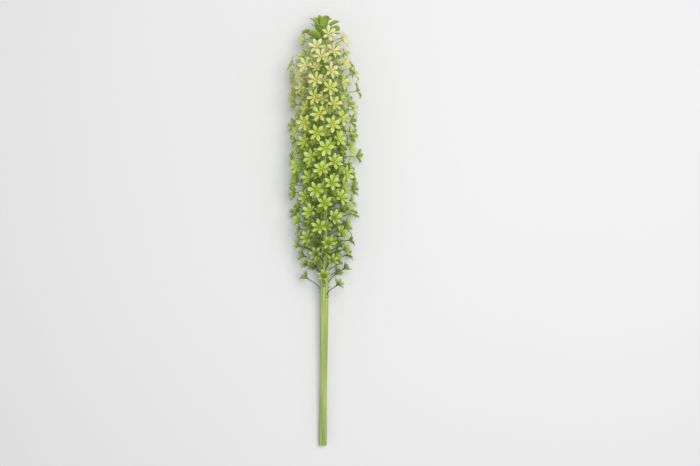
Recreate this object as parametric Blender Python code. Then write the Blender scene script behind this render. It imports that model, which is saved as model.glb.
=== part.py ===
"""One cut stem of giant pineapple lily, lying on a flat surface.

Metres, +Z up. The stem lies along Y: its cut end points to -Y and its leafy crown to +Y.
The origin is the middle of the stem's footprint, on the surface that it lies on.

The stem is a bare scape, then a raceme of star florets on pedicels, then a crown of leaf bracts.
The older, green florets and the younger, cream ones are two nodes, each with its stretch of stem.
"""

import itertools
import math
import random

import bmesh
import bpy
from mathutils import Vector

# The stem
STEM_LENGTH = 0.838  # from the cut end to the foot of the crown
CUT_END_X, CUT_END_Y = -0.0061, -0.4472
STEM_RADII = (
    (0.00, 0.0084),
    (0.14, 0.0075),
    (0.29, 0.0087),
    (0.42, 0.0080),
    (0.60, 0.0068),
    (0.78, 0.0052),
    (0.838, 0.0046),
)
SCAPE_TOP = 0.296
NODE_GAP = 0.0003
RISE = math.radians(4.3)  # the raceme's florets hold the stem up off the surface
DROOP_START = 0.40
DROOP = 0.012
SWAY = 0.004
STEM_SIDES = 16
SCAPE_STEP, RACEME_STEP, CROWN_STEP = 0.054, 0.050, 0.014  # between the rings of the stem's stretches
RIB_COUNT = 8
RIB_DEPTH = 0.075  # of the stem's radius
RIBS_START, RIBS_FULL = 0.25, 0.34
SMOOTH_UP_TO = math.radians(32)

# The florets
FLORET_COUNT = 142
OLDER_COUNT = 88  # of them, counted from below, are green; the others are cream
FIRST_FLORET, LAST_FLORET = 0.316, 0.828
COLOUR_BREAK = 0.006  # both colours stand back this far from where they meet
COLOUR_CLEAR = 0.0021  # the first cream floret's foot stands this far above the green stretch
CROWDING = 0.80  # under 1, the florets stand closer towards the crown
GOLDEN_ANGLE = math.radians(137.50776)
FIRST_AZIMUTH = math.radians(40)  # of the lowest floret
SEED = 7300
PEDICEL_LENGTHS = ((0.0, 0.042), (0.12, 0.049), (0.45, 0.0545), (0.80, 0.049), (1.0, 0.038))
PEDICEL_RISES = ((0.0, 44), (0.12, 30), (0.45, 17), (0.80, 20), (1.0, 24))
FACE_RISES = ((0.0, 34), (0.12, 20), (0.45, 8), (0.80, 9), (1.0, 14))
PEDICEL_RADII = ((0.0, 0.0016), (0.5, 0.0011), (1.0, 0.0018))
PEDICEL_ROOT = 0.0030  # how far a pedicel is sunk in the stem
PEDICEL_STEEPER = math.radians(28)  # it leaves the stem this much steeper than it runs on
PEDICEL_BENDS = (0.42, 0.30)  # how far its ends hold their directions, of its length
LENGTH_PLAY, AZIMUTH_PLAY = 0.09, math.radians(7)
RISE_PLAY, FACE_PLAY = math.radians(4.4), math.radians(11)
BUD_EVERY, BUDS_ABOVE = 4, 0.86
SPACING = 0.0350  # florets that would stand closer than this push each other aside
SPACING_ROUNDS = 24
PUSH = 0.45  # of the lacking distance, to each of the two
FORWARD_OF_LIFT = 0.3  # a floret that the surface pushes up also leans this much towards the crown

# One floret: six tepals round an ovary
TEPAL_COUNT = 6
TEPAL_LENGTHS = ((0.0, 0.0175), (0.2, 0.0196), (1.0, 0.0198))
TEPAL_WIDTHS = ((0.0, 0.0082), (0.2, 0.0108), (1.0, 0.0108))
TEPAL_PITCHES = ((0.0, 42), (0.15, 32), (0.5, 24), (0.85, 22), (1.0, 28))  # degrees over the floret's plane
CUP_PLAY = math.radians(8)  # how much more or less a whole floret opens
SPIN_PLAY, PITCH_PLAY, LEAN_PLAY = math.radians(30), math.radians(6), math.radians(4)
OUTER_TEPAL_WIDTH = 0.9  # every other tepal is this much narrower
WIDEST_AT = 0.58  # of the tepal's length
BEND_AT = 0.48
TIP_DROP = 0.0006
TEPAL_THICKNESS = 0.0011
TEPAL_HOLLOW = 0.0011  # how far a tepal's edges stand above its middle
THROAT_RADIUS = 0.0026
TEPAL_START = 0.6 * THROAT_RADIUS
OVARY_HEIGHTS = ((0.0, 0.0066), (0.3, 0.0052), (1.0, 0.0044))
OVARY_RADII = ((0.0, 0.0030), (0.3, 0.0022), (1.0, 0.0017))
OVARY_FOOT = 0.0012  # its foot's height over the throat
RECEPTACLE_DEPTH = 0.0016

# A bud, and the small bract under a pedicel
BUD_LENGTH, BUD_RADIUS = 0.0145, 0.0036
BUD_WIDEST_AT = 0.45
BRACT_COUNT = 10
BRACT_BELOW = 0.004  # its foot lies this much further down the stem than the pedicel's
BRACT_RISE = math.radians(41)
BRACT_OUTLINE = ((0.0, 0.7), (0.45, 1.0), (0.78, 0.6))

# The crown: leaves in a spiral, from the outermost, which lie spread, to the innermost, which stand upright
LEAF_COUNT = 16
LEAF_LEANS = ((0.0, 58), (0.35, 46), (0.7, 25), (1.0, 6))  # degrees from the stem's line
LEAF_LENGTHS = ((0.0, 0.044), (0.5, 0.049), (1.0, 0.040))
LEAF_WIDTHS = ((0.0, 0.0215), (0.5, 0.0225), (1.0, 0.0130))
LEAF_SIZE_PLAY = 0.10
LEAF_AZIMUTH_PLAY, LEAF_LEAN_PLAY = math.radians(8), math.radians(6)
LEAF_CURLS = (math.radians(17), math.radians(39))
LEAF_OUTLINE = ((0.0, 0.40), (0.25, 0.70), (0.50, 0.98), (0.74, 0.90), (0.90, 0.52))
LEAF_ROOT = 0.0009  # from the crown's centre line
CROWN_HEIGHT, CROWN_TIP = 0.028, 0.4  # the stem's end narrows to this share of its radius
CROWN_AZIMUTH = math.radians(218)  # of the outermost leaf; here no leaf meets a floret
CROWN_FIRST, CROWN_LAST = 0.12, 0.90  # where the leaves start and stop, of that height
TRAITS_OF_LEAVES = 500  # leaves draw their chances after all florets

# Blades: (thickness, height of the edges over the midrib, height of the waves along the edges)
LEAF_SECTION = (0.0012, 0.0022, 0.0010)
BRACT_SECTION = (0.0009, 0.0004, 0.0)
BRACT_SIZE = (0.0125, 0.0050)
BRACT_CURL = math.radians(28)
WAVES_FROM = 0.2  # of the blade's length

COLOURS = {
    "scape": (0.36, 0.50, 0.16),
    "raceme_lower": (0.44, 0.58, 0.15),
    "raceme_upper": (0.70, 0.74, 0.42),
    "crown": (0.24, 0.42, 0.07),
}


def between(stations, where):
    """The value at a place on a list of (place, value) stations, on straight lines between them."""
    for (low, first), (high, second) in zip(stations, stations[1:]):
        if where <= high:
            share = max(0.0, (where - low) / (high - low))
            return first + (second - first) * share
    return stations[-1][1]


def chance(floret, trait):
    """A seeded draw from -1 to 1 for one trait of one floret or leaf."""
    return random.Random(SEED + 31 * floret + 7919 * trait).uniform(-1.0, 1.0)


# The stem's line


def axis_point(along):
    """The stem's centre at a distance from its cut end."""
    over = max(0.0, (along - DROOP_START) / (STEM_LENGTH - DROOP_START))
    sideways = CUT_END_X + SWAY * math.sin(math.pi * along / STEM_LENGTH)
    height = STEM_RADII[0][1] * math.cos(RISE) + along * math.sin(RISE) - DROOP * over * over
    return Vector((sideways, CUT_END_Y + along * math.cos(RISE), height))


def axis_frame(along):
    """(sideways, along, upward) unit vectors of the stem at a distance from its cut end."""
    step = 0.001
    tangent = (axis_point(along + step) - axis_point(along - step)).normalized()
    side = (Vector((1, 0, 0)) - tangent * tangent.x).normalized()
    return side, tangent, side.cross(tangent)


def outward(along, azimuth):
    """The direction straight out of the stem there; azimuth 0 is sideways and a quarter turn is up."""
    side, _, up = axis_frame(along)
    return side * math.cos(azimuth) + up * math.sin(azimuth)


def stem_radius(along, azimuth):
    ribbed = min(1.0, max(0.0, (along - RIBS_START) / (RIBS_FULL - RIBS_START)))
    return between(STEM_RADII, along) * (1 + RIB_DEPTH * ribbed * math.cos(RIB_COUNT * azimuth))


# Mesh helpers


def finish(mesh_in_work, name):
    """Turns a bmesh into an object, with its faces pointing out."""
    bmesh.ops.recalc_face_normals(mesh_in_work, faces=mesh_in_work.faces)
    mesh = bpy.data.meshes.new(name)
    mesh_in_work.to_mesh(mesh)
    mesh_in_work.free()
    built = bpy.data.objects.new(name, mesh)
    bpy.context.scene.collection.objects.link(built)
    return built


def paint(built, colour):
    """Gives a node its own material, and shades its round places smooth."""
    material = bpy.data.materials.new(built.name)
    material.use_nodes = True
    shader = material.node_tree.nodes["Principled BSDF"]
    shader.inputs["Base Color"].default_value = (*colour, 1.0)
    shader.inputs["Roughness"].default_value = 0.55
    shader.inputs["Metallic"].default_value = 0.0
    built.data.materials.clear()
    built.data.materials.append(material)
    built.data.shade_smooth()
    built.data.set_sharp_from_angle(angle=SMOOTH_UP_TO)


def stem_piece(name, start, end, ring_step, end_scale=1.0):
    """A closed stretch of the stem, ring by ring."""
    work = bmesh.new()
    count = round((end - start) / ring_step)
    azimuths = [math.tau * k / STEM_SIDES for k in range(STEM_SIDES)]
    rings = []
    for ring in range(count + 1):
        along = start + (end - start) * ring / count
        narrowing = 1 + (end_scale - 1) * ring / count
        spokes = [outward(along, a) * stem_radius(along, a) * narrowing for a in azimuths]
        rings.append([work.verts.new(axis_point(along) + spoke) for spoke in spokes])
    for first, second in zip(rings, rings[1:]):
        for k in range(STEM_SIDES):
            following = (k + 1) % STEM_SIDES
            work.faces.new((first[k], first[following], second[following], second[k]))
    work.faces.new(rings[0][::-1])
    work.faces.new(rings[-1])
    return finish(work, name)


def blade(name, root, direction, face, size, outline, section, curl):
    """A leaf-like blade with sharp edges, curled back along its length.

    Its two faces share their outline and are split into triangles alike.
    """
    length, width = size
    thickness, channel, wave = section
    work = bmesh.new()
    across = direction.cross(face).normalized()
    rows = []
    centre, last_place = root, 0.0
    for index, (place, share) in enumerate(outline):
        turn = curl * place
        heading = direction * math.cos(turn) - face * math.sin(turn)
        lift = face * math.cos(turn) + direction * math.sin(turn)
        centre = centre + heading * (place - last_place) * length
        last_place = place
        half = across * width / 2 * share
        edge = lift * channel * share
        ripple = lift * wave * (-1) ** index if place > WAVES_FROM else Vector()
        left, right = centre - half + edge + ripple, centre + half + edge - ripple
        over, under = centre + lift * thickness / 2, centre - lift * thickness / 2
        rows.append([work.verts.new(p) for p in (left, over, right, under)])
    tip = work.verts.new(centre + heading * (1 - last_place) * length)
    for first, second in zip(rows, rows[1:]):
        for k in range(4):
            following = (k + 1) % 4
            if k % 2 == 0:
                work.faces.new((first[k], first[following], second[k]))
                work.faces.new((first[following], second[following], second[k]))
            else:
                work.faces.new((first[k], first[following], second[following]))
                work.faces.new((first[k], second[following], second[k]))
    for k in range(4):
        work.faces.new((rows[-1][k], rows[-1][(k + 1) % 4], tip))
    work.faces.new(rows[0][::-1])
    return finish(work, name)


# One floret


def floret_place(number):
    """Where a floret leaves the stem and how it stands, before the surface pushes it up."""
    t = number / (FLORET_COUNT - 1)
    along = FIRST_FLORET + (LAST_FLORET - FIRST_FLORET) * t**CROWDING
    along += COLOUR_BREAK * (1 - t) if number >= OLDER_COUNT else -COLOUR_BREAK * t
    azimuth = FIRST_AZIMUTH + number * GOLDEN_ANGLE + AZIMUTH_PLAY * chance(number, 1)
    _, tangent, _ = axis_frame(along)
    out = outward(along, azimuth)
    length = between(PEDICEL_LENGTHS, t) * (1 + LENGTH_PLAY * chance(number, 2))
    rise = math.radians(between(PEDICEL_RISES, t)) + RISE_PLAY * chance(number, 3)
    face_rise = math.radians(between(FACE_RISES, t)) + FACE_PLAY * chance(number, 4)
    sideways = FACE_PLAY * chance(number, 5)
    foot = axis_point(along) + out * (stem_radius(along, azimuth) - PEDICEL_ROOT)
    head = foot + (out * math.cos(rise) + tangent * math.sin(rise)) * length
    face = out * math.cos(face_rise) + tangent * math.sin(face_rise)
    face = (face + out.cross(tangent) * math.tan(sideways)).normalized()
    start_rise = rise + PEDICEL_STEEPER
    leaving = out * math.cos(start_rise) + tangent * math.sin(start_rise)
    return {
        "number": number,
        "t": t,
        "along": along,
        "azimuth": azimuth,
        "foot": foot,
        "head": head,
        "face": face,
        "leaving": leaving,
        "length": length,
        "bud": t > BUDS_ABOVE and number % BUD_EVERY == 1,
    }


def head_frame(place):
    """(first, second) unit vectors across the face of a floret."""
    _, tangent, _ = axis_frame(place["along"])
    face = place["face"]
    first = (tangent - face * tangent.dot(face)).normalized()
    return first, face.cross(first)


def star_points(place):
    """The points of a floret's star in space: six valleys, and for each tepal left, tip, right, middle."""
    t, number = place["t"], place["number"]
    first, second = head_frame(place)
    spin, cup = SPIN_PLAY * chance(number, 6), CUP_PLAY * chance(number, 8)
    width, length = between(TEPAL_WIDTHS, t), between(TEPAL_LENGTHS, t)

    def spot(turn, radius, sideways, height):
        flat = first * math.cos(turn) + second * math.sin(turn)
        square = second * math.cos(turn) - first * math.sin(turn)
        return place["head"] + flat * radius + square * sideways + place["face"] * height

    valleys, tepals = [], []
    for k in range(TEPAL_COUNT):
        turn = spin + math.tau * k / TEPAL_COUNT
        pitch = math.radians(between(TEPAL_PITCHES, t)) + cup + PITCH_PLAY * chance(number, 10 + k)
        lean = LEAN_PLAY * chance(number, 20 + k)
        half = width / 2 * (1.0 if k % 2 else OUTER_TEPAL_WIDTH)
        valleys.append(spot(turn - math.pi / TEPAL_COUNT, THROAT_RADIUS, 0.0, 0.0))

        def along_tepal(share, sideways, height):
            reach = length * share
            radius = TEPAL_START + reach * math.cos(pitch)
            return spot(turn + lean * share, radius, sideways, reach * math.sin(pitch) + height)

        tepals.append(
            {
                "left": along_tepal(WIDEST_AT, -half, TEPAL_HOLLOW),
                "right": along_tepal(WIDEST_AT, half, TEPAL_HOLLOW),
                "tip": along_tepal(1.0 - TEPAL_START / length, 0.0, -TIP_DROP),
                "over": along_tepal(BEND_AT, 0.0, TEPAL_THICKNESS / 2),
                "under": along_tepal(BEND_AT, 0.0, -TEPAL_THICKNESS / 2),
            }
        )
    return spin, valleys, tepals


def bud_points(place):
    """(tip, [six points round the bud's widest place]) of a bud in space."""
    first, second = head_frame(place)
    tip = place["head"] + place["face"] * BUD_LENGTH
    middle = place["head"] + place["face"] * BUD_LENGTH * BUD_WIDEST_AT
    turns = [math.tau * k / TEPAL_COUNT for k in range(TEPAL_COUNT)]
    waist = [middle + (first * math.cos(a) + second * math.sin(a)) * BUD_RADIUS for a in turns]
    return tip, waist


def stigma_point(place):
    """The top of a floret's ovary."""
    return place["head"] + place["face"] * between(OVARY_HEIGHTS, place["t"])


def lowest_point(place):
    """The height of a floret's lowest point over the surface."""
    if place["bud"]:
        tip, waist = bud_points(place)
        return min(p.z for p in (tip, *waist))
    tepal_lowest = min(p.z for tepal in star_points(place)[2] for p in tepal.values())
    return min(tepal_lowest, stigma_point(place).z)


def lift_clear(place):
    """Bends a floret that would dip under the surface up and forward until its lowest point touches it."""
    dip = -lowest_point(place)
    if dip > 0.0:
        place["head"] = place["head"] + Vector((0.0, dip * FORWARD_OF_LIFT, dip))


def floret_places():
    """All florets in their places: they push each other aside, and the surface pushes up the lowest."""
    places = [floret_place(number) for number in range(FLORET_COUNT)]
    for _ in range(SPACING_ROUNDS):
        for first, second in itertools.combinations(places, 2):
            apart = second["head"] - first["head"]
            lacking = SPACING - apart.length
            if lacking > 0.0:
                push = apart.normalized() * lacking * PUSH
                first["head"] = first["head"] - push
                second["head"] = second["head"] + push
        for place in places:
            lift_clear(place)
    return places


def pedicel_rings(work, place, angles):
    """Three-sided rings from the foot to the head of a pedicel, the last one in the floret's own plane."""
    first, _ = head_frame(place)
    foot, behind = place["foot"], place["head"] - place["face"] * RECEPTACLE_DEPTH
    first_bend = foot + place["leaving"] * place["length"] * PEDICEL_BENDS[0]
    last_bend = behind - place["face"] * place["length"] * PEDICEL_BENDS[1]
    rings = []
    for share, radius in PEDICEL_RADII:
        rest = 1 - share
        start_part = foot * rest**3 + first_bend * 3 * rest * rest * share
        end_part = last_bend * 3 * rest * share * share + behind * share**3
        start_pull = (first_bend - foot) * rest * rest + (last_bend - first_bend) * 2 * rest * share
        heading = (start_pull + (behind - last_bend) * share * share).normalized()
        across = (first - heading * first.dot(heading)).normalized()
        other = heading.cross(across)
        spokes = [(across * math.cos(a) + other * math.sin(a)) * radius for a in angles]
        rings.append([work.verts.new(start_part + end_part + spoke) for spoke in spokes])
    return rings


def skin_rings(work, rings):
    """Closes a pedicel's sides and the end that is sunk in the stem."""
    for first, second in zip(rings, rings[1:]):
        for j in range(3):
            following = (j + 1) % 3
            work.faces.new((first[j], first[following], second[following]))
            work.faces.new((first[j], second[following], second[j]))
    work.faces.new(rings[0][::-1])


def open_floret(place):
    """A floret with its pedicel, as one closed mesh."""
    work = bmesh.new()
    spin, valley_points, tepal_points = star_points(place)
    first, second = head_frame(place)
    valleys = [work.verts.new(p) for p in valley_points]
    tepals = [{name: work.verts.new(p) for name, p in tepal.items()} for tepal in tepal_points]
    # Each back or ovary corner serves two neighbouring tepals.
    angles = [spin + math.tau * (2 * j + 0.5) / TEPAL_COUNT for j in range(3)]
    rings = pedicel_rings(work, place, angles)
    back = rings[-1]
    ovary_foot = place["head"] + place["face"] * OVARY_FOOT
    ovary_radius = between(OVARY_RADII, place["t"])
    spokes = [(first * math.cos(a) + second * math.sin(a)) * ovary_radius for a in angles]
    ovary = [work.verts.new(ovary_foot + spoke) for spoke in spokes]
    stigma = work.verts.new(stigma_point(place))
    for k, tepal in enumerate(tepals):
        here, following = valleys[k], valleys[(k + 1) % TEPAL_COUNT]
        outline = (here, tepal["left"], tepal["tip"], tepal["right"], following)
        for a, b in zip(outline, outline[1:]):
            work.faces.new((tepal["over"], b, a))
            work.faces.new((tepal["under"], a, b))
        work.faces.new((tepal["over"], here, ovary[k // 2]))
        work.faces.new((tepal["over"], ovary[k // 2], following))
        work.faces.new((tepal["under"], back[k // 2], here))
        work.faces.new((tepal["under"], following, back[k // 2]))
    for j in range(3):
        following = (j + 1) % 3
        shared = valleys[(2 * j + 2) % TEPAL_COUNT]
        work.faces.new((shared, ovary[j], ovary[following]))
        work.faces.new((shared, back[following], back[j]))
        work.faces.new((ovary[j], ovary[following], stigma))
    skin_rings(work, rings)
    return finish(work, f"floret_{place['number']}")


def closed_bud(place):
    """An unopened floret with its pedicel, as one closed mesh."""
    work = bmesh.new()
    tip_point, waist_points = bud_points(place)
    tip = work.verts.new(tip_point)
    waist = [work.verts.new(p) for p in waist_points]
    angles = [math.tau * (2 * j + 0.5) / TEPAL_COUNT for j in range(3)]
    rings = pedicel_rings(work, place, angles)
    back = rings[-1]
    for k in range(TEPAL_COUNT):
        following = (k + 1) % TEPAL_COUNT
        work.faces.new((waist[k], waist[following], tip))
        work.faces.new((waist[k], waist[following], back[k // 2]))
    for j in range(3):
        work.faces.new((waist[(2 * j + 2) % TEPAL_COUNT], back[j], back[(j + 1) % 3]))
    skin_rings(work, rings)
    return finish(work, f"bud_{place['number']}")


def pedicel_bract(place):
    """The small bract that stands under a pedicel's foot."""
    _, tangent, _ = axis_frame(place["along"])
    out = outward(place["along"], place["azimuth"])
    depth = stem_radius(place["along"], place["azimuth"]) - PEDICEL_ROOT
    foot = axis_point(place["along"] - BRACT_BELOW) + out * depth
    heading = out * math.cos(BRACT_RISE) + tangent * math.sin(BRACT_RISE)
    face = tangent * math.cos(BRACT_RISE) - out * math.sin(BRACT_RISE)
    name = f"bract_{place['number']}"
    return blade(name, foot, heading, face, BRACT_SIZE, BRACT_OUTLINE, BRACT_SECTION, BRACT_CURL)


# Joining repeats to what they grow from


def fuse(body, repeats):
    """One Boolean union joins the repeats to the body; the repeats are then removed."""
    group = bpy.data.collections.new(body.name + "_repeats")
    bpy.context.scene.collection.children.link(group)
    for built in repeats:
        bpy.context.scene.collection.objects.unlink(built)
        group.objects.link(built)
    union = body.modifiers.new("join", "BOOLEAN")
    union.operation = "UNION"
    union.operand_type = "COLLECTION"
    union.collection = group
    union.solver = "MANIFOLD"
    bpy.context.view_layer.update()
    graph = bpy.context.evaluated_depsgraph_get()
    joined = bpy.data.meshes.new_from_object(body.evaluated_get(graph))
    body.modifiers.clear()
    body.data = joined
    for built in repeats:
        bpy.data.objects.remove(built)
    bpy.data.collections.remove(group)
    keep_outer_skin(body)
    return body


def keep_outer_skin(body):
    """Fills the hollows that fusing sealed and drops loose scraps: only the largest skin stays."""
    work = bmesh.new()
    work.from_mesh(body.data)
    skins, seen = [], set()
    for start in work.faces:
        if start in seen:
            continue
        seen.add(start)
        skin, border = [], [start]
        while border:
            face = border.pop()
            skin.append(face)
            beside = {neighbour for edge in face.edges for neighbour in edge.link_faces} - seen
            seen |= beside
            border.extend(beside)
        skins.append(skin)
    largest = max(skins, key=len)
    loose = [face for skin in skins if skin is not largest for face in skin]
    bmesh.ops.delete(work, geom=loose, context="FACES")
    work.to_mesh(body.data)
    work.free()


# The nodes


def scape():
    return stem_piece("scape", 0.0, SCAPE_TOP, SCAPE_STEP)


def raceme(name, start, end, places):
    """A stretch of the stem with its florets, buds and bracts."""
    repeats = []
    for place in places:
        repeats.append(closed_bud(place) if place["bud"] else open_floret(place))
        if place["number"] < BRACT_COUNT:
            repeats.append(pedicel_bract(place))
    return fuse(stem_piece(name, start, end, RACEME_STEP), repeats)


def crown_leaf(number):
    """One leaf of the crown, counted from the outermost."""
    t = number / (LEAF_COUNT - 1)
    traits = TRAITS_OF_LEAVES + number
    along = STEM_LENGTH + CROWN_HEIGHT * (CROWN_FIRST + (CROWN_LAST - CROWN_FIRST) * t)
    azimuth = CROWN_AZIMUTH + number * GOLDEN_ANGLE + LEAF_AZIMUTH_PLAY * chance(traits, 1)
    lean = math.radians(between(LEAF_LEANS, t)) + LEAF_LEAN_PLAY * chance(traits, 2)
    length = between(LEAF_LENGTHS, t) * (1 + LEAF_SIZE_PLAY * chance(traits, 3))
    width = between(LEAF_WIDTHS, t) * (1 + LEAF_SIZE_PLAY * chance(traits, 4))
    curl = between(((-1.0, LEAF_CURLS[0]), (1.0, LEAF_CURLS[1])), chance(traits, 5))
    _, tangent, _ = axis_frame(along)
    out = outward(along, azimuth)
    root = axis_point(along) + out * LEAF_ROOT
    direction = tangent * math.cos(lean) + out * math.sin(lean)
    face = tangent * math.sin(lean) - out * math.cos(lean)
    name = f"leaf_{number}"
    return blade(name, root, direction, face, (length, width), LEAF_OUTLINE, LEAF_SECTION, curl)


def crown():
    start, end = STEM_LENGTH + NODE_GAP, STEM_LENGTH + CROWN_HEIGHT
    body = stem_piece("crown", start, end, CROWN_STEP, end_scale=CROWN_TIP)
    return fuse(body, [crown_leaf(number) for number in range(LEAF_COUNT)])


def main():
    for old in list(bpy.data.objects):
        bpy.data.objects.remove(old)
    places = floret_places()
    older, younger = places[:OLDER_COUNT], places[OLDER_COUNT:]
    colour_change = younger[0]["along"] - COLOUR_CLEAR
    built = [
        scape(),
        raceme("raceme_lower", SCAPE_TOP + NODE_GAP, colour_change, older),
        raceme("raceme_upper", colour_change + NODE_GAP, STEM_LENGTH, younger),
        crown(),
    ]
    for node in built:
        paint(node, COLOURS[node.name])


main()
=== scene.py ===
# %% [markdown]
# # A cut stem of giant pineapple lily
#
# The real thing is one flower stem, a little under a metre long. A bare stalk carries a long raceme
# of starry florets, and a tuft of green leaves sits on top like a pineapple's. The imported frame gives
# every part its place and size, and this script only dresses it. It is a cut stem with no vase, so it
# lies on the floor and the camera looks down on it.

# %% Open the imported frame
import itertools
import math
import random

import bmesh
import bpy
import numpy as np
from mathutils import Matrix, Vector


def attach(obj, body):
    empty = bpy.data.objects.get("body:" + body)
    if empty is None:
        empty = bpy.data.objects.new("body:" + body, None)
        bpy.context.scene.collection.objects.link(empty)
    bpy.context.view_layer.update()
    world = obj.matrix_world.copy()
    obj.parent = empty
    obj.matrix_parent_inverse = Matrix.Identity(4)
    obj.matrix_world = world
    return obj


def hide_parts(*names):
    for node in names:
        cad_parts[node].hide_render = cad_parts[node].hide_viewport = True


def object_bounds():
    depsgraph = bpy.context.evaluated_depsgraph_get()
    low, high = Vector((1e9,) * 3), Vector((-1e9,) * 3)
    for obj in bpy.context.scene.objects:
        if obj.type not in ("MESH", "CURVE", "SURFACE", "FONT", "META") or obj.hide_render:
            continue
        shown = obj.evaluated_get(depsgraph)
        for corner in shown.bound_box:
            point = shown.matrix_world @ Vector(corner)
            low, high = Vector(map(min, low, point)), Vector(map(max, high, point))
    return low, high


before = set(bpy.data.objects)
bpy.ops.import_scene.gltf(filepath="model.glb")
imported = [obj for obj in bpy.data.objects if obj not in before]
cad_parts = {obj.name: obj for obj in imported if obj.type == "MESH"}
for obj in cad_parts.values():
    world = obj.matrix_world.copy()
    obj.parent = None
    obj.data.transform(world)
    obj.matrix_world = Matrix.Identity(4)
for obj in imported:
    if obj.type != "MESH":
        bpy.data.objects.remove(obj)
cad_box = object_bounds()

print("CAD nodes:", sorted(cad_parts))
print("CAD box in mm:", [round(side * 1000) for side in cad_box[1] - cad_box[0]])

# %% [markdown]
# ## Where things grow
#
# A raceme is not decorated by eye. Each floret leaves the stalk 137.5 degrees round from the one
# below, which is the golden angle, so no two stand in line. The florets then push each other aside,
# and the floor pushes up the lowest. The same rule placed the plain florets of the frame. It is
# repeated here with the same numbers, so that each fine floret lies on its plain one.

# %% The stalk's line
STEM_LENGTH = 0.838
CUT_END_X, CUT_END_Y = -0.0061, -0.4472
STEM_RADII = (
    (0.00, 0.0084),
    (0.14, 0.0075),
    (0.29, 0.0087),
    (0.42, 0.0080),
    (0.60, 0.0068),
    (0.78, 0.0052),
    (0.838, 0.0046),
)
RISE = math.radians(4.3)
DROOP_START, DROOP = 0.40, 0.012
SWAY = 0.004
RIB_COUNT, RIB_DEPTH = 8, 0.075
RIBS_START, RIBS_FULL = 0.25, 0.34
GOLDEN_ANGLE = math.radians(137.50776)
FIRST_AZIMUTH = math.radians(40)
SEED = 7300


def between(stations, where):
    """The value at a place on a list of (place, value) stations."""
    places, values = zip(*stations)
    return float(np.interp(where, places, values))


def chance(floret, trait):
    """A seeded draw from -1 to 1 for one trait of one floret or leaf."""
    return random.Random(SEED + 31 * floret + 7919 * trait).uniform(-1.0, 1.0)


def axis_point(along):
    """The stalk's centre at a distance from its cut end."""
    over = max(0.0, (along - DROOP_START) / (STEM_LENGTH - DROOP_START))
    sideways = CUT_END_X + SWAY * math.sin(math.pi * along / STEM_LENGTH)
    height = STEM_RADII[0][1] * math.cos(RISE) + along * math.sin(RISE) - DROOP * over * over
    return Vector((sideways, CUT_END_Y + along * math.cos(RISE), height))


def axis_frame(along):
    """(sideways, along, upward) unit vectors of the stalk at a distance from its cut end."""
    step = 0.001
    tangent = (axis_point(along + step) - axis_point(along - step)).normalized()
    side = (Vector((1, 0, 0)) - tangent * tangent.x).normalized()
    return side, tangent, side.cross(tangent)


def outward(along, azimuth):
    side, _, up = axis_frame(along)
    return side * math.cos(azimuth) + up * math.sin(azimuth)


def rib(along, azimuth):
    """1 on the ridge of a rib, -1 in its valley and 0 where the stalk is round."""
    ribbed = min(1.0, max(0.0, (along - RIBS_START) / (RIBS_FULL - RIBS_START)))
    return ribbed * math.cos(RIB_COUNT * azimuth)


def stem_radius(along, azimuth):
    return between(STEM_RADII, along) * (1 + RIB_DEPTH * rib(along, azimuth))


print("stalk runs from", axis_point(0.0)[:], "to", axis_point(STEM_LENGTH)[:])

# %% The florets' places
FLORET_COUNT, OLDER_COUNT = 142, 88
FIRST_FLORET, LAST_FLORET = 0.316, 0.828
COLOUR_BREAK = 0.006
CROWDING = 0.80
PEDICEL_LENGTHS = ((0.0, 0.042), (0.12, 0.049), (0.45, 0.0545), (0.80, 0.049), (1.0, 0.038))
PEDICEL_RISES = ((0.0, 44), (0.12, 30), (0.45, 17), (0.80, 20), (1.0, 24))
FACE_RISES = ((0.0, 34), (0.12, 20), (0.45, 8), (0.80, 9), (1.0, 14))
PEDICEL_ROOT = 0.0030
PEDICEL_STEEPER = math.radians(28)
PEDICEL_BENDS = (0.42, 0.30)
LENGTH_PLAY, AZIMUTH_PLAY = 0.09, math.radians(7)
RISE_PLAY, FACE_PLAY = math.radians(4.4), math.radians(11)
BUD_EVERY, BUDS_ABOVE = 4, 0.86
SPACING, SPACING_ROUNDS, PUSH, FORWARD_OF_LIFT = 0.0350, 24, 0.45, 0.3
TEPAL_COUNT = 6
TEPAL_LENGTHS = ((0.0, 0.0175), (0.2, 0.0196), (1.0, 0.0198))
CAD_TEPAL_WIDTHS = ((0.0, 0.0082), (0.2, 0.0108), (1.0, 0.0108))
TEPAL_PITCHES = ((0.0, 42), (0.15, 32), (0.5, 24), (0.85, 22), (1.0, 28))
CUP_PLAY = math.radians(8)
SPIN_PLAY, PITCH_PLAY, LEAN_PLAY = math.radians(30), math.radians(6), math.radians(4)
OUTER_TEPAL_WIDTH = 0.9
CAD_WIDEST_AT, CAD_BEND_AT, CAD_TIP_DROP = 0.58, 0.48, 0.0006
CAD_TEPAL_THICKNESS, CAD_TEPAL_HOLLOW = 0.0011, 0.0011
THROAT_RADIUS = 0.0026
TEPAL_START = 0.6 * THROAT_RADIUS
OVARY_HEIGHTS = ((0.0, 0.0066), (0.3, 0.0052), (1.0, 0.0044))
RECEPTACLE_DEPTH = 0.0016
BUD_LENGTH, BUD_RADIUS, BUD_WIDEST_AT = 0.0145, 0.0036, 0.45


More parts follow.
